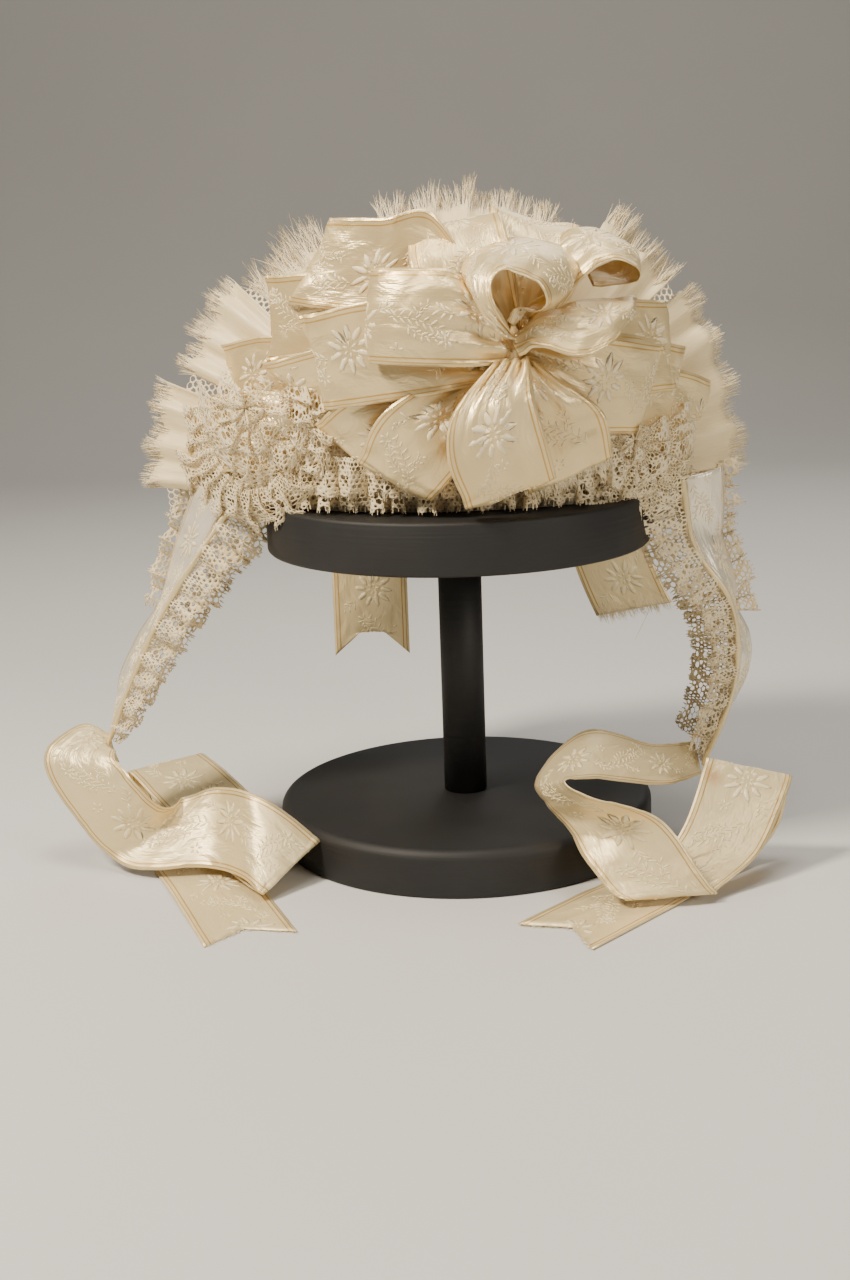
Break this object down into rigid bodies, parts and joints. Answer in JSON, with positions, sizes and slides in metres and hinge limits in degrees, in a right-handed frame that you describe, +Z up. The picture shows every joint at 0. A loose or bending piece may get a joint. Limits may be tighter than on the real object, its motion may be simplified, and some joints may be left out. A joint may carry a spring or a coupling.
{
  "type": "poke bonnet on a display stand",
  "caption": "Small ivory bonnet of net with a bow of brocade ribbon loops, frayed silk ruches, lace frills, lappets and long ribbon ties, on a round black stand.",
  "frame": {"origin": "centre of the stand base's underside, on the table", "axes": "+Z up, the face opening looks along -Y, +X is to the right of someone who looks at the face opening"},
  "size_m": [0.3464, 0.2438, 0.3069],
  "materials": {
    "painted_wood": "dull black paint on wood",
    "satin_ribbon": "silk satin ribbon with a woven floral brocade and striped selvedges",
    "frayed_silk": "plain silk with a frayed edge",
    "cotton_net": "open machine net",
    "cotton_lace": "bobbin lace with scalloped edges"
  },
  "bodies": {
    "root": {"back_lace": "cotton_lace", "bow_end_bottom": "satin_ribbon", "bow_knot": "satin_ribbon", "bow_loop_bottom_left": "satin_ribbon", "bow_loop_far_right": "satin_ribbon", "bow_loop_far_top_right": "satin_ribbon", "bow_loop_front_left": "satin_ribbon", "bow_loop_hem_left": "satin_ribbon", "bow_loop_low_left": "satin_ribbon", "bow_loop_lower_middle": "satin_ribbon", "bow_loop_lower_right": "satin_ribbon", "bow_loop_middle_left": "satin_ribbon", "bow_loop_right": "satin_ribbon", "bow_loop_roll": "satin_ribbon", "bow_loop_side_left": "satin_ribbon", "bow_loop_side_right": "satin_ribbon", "bow_loop_top_left": "satin_ribbon", "bow_loop_top_right": "satin_ribbon", "bow_loop_upper_left": "satin_ribbon", "brim_lace_lower": "cotton_lace", "brim_lace_upper": "cotton_lace", "crown_net": "cotton_net", "fringe_left": "frayed_silk", "fringe_right": "frayed_silk", "fringe_top": "frayed_silk", "fringe_top_left": "frayed_silk", "fringe_top_right": "frayed_silk", "fringe_upper_left": "frayed_silk", "lace_puff_left": "cotton_lace", "lace_puff_right": "cotton_lace", "lappet_back_lace_left": "cotton_lace", "lappet_back_lace_right": "cotton_lace", "lappet_band_left": "cotton_lace", "lappet_band_right": "cotton_lace", "lappet_front_lace_left": "cotton_lace", "lappet_front_lace_right": "cotton_lace", "lappet_outer_lace_left": "cotton_lace", "lappet_outer_lace_right": "cotton_lace", "lappet_ribbon_left": "satin_ribbon", "lappet_ribbon_right": "satin_ribbon", "net_frill": "cotton_net", "side_loop_left": "satin_ribbon", "side_loop_low_left": "satin_ribbon", "side_loop_right": "satin_ribbon", "stand_base": "painted_wood", "stand_disc": "painted_wood", "stand_post": "painted_wood", "tail_frayed": "satin_ribbon", "tail_swallow": "satin_ribbon", "tie_left": "satin_ribbon", "tie_right": "satin_ribbon"}
  },
  "joints": []
}
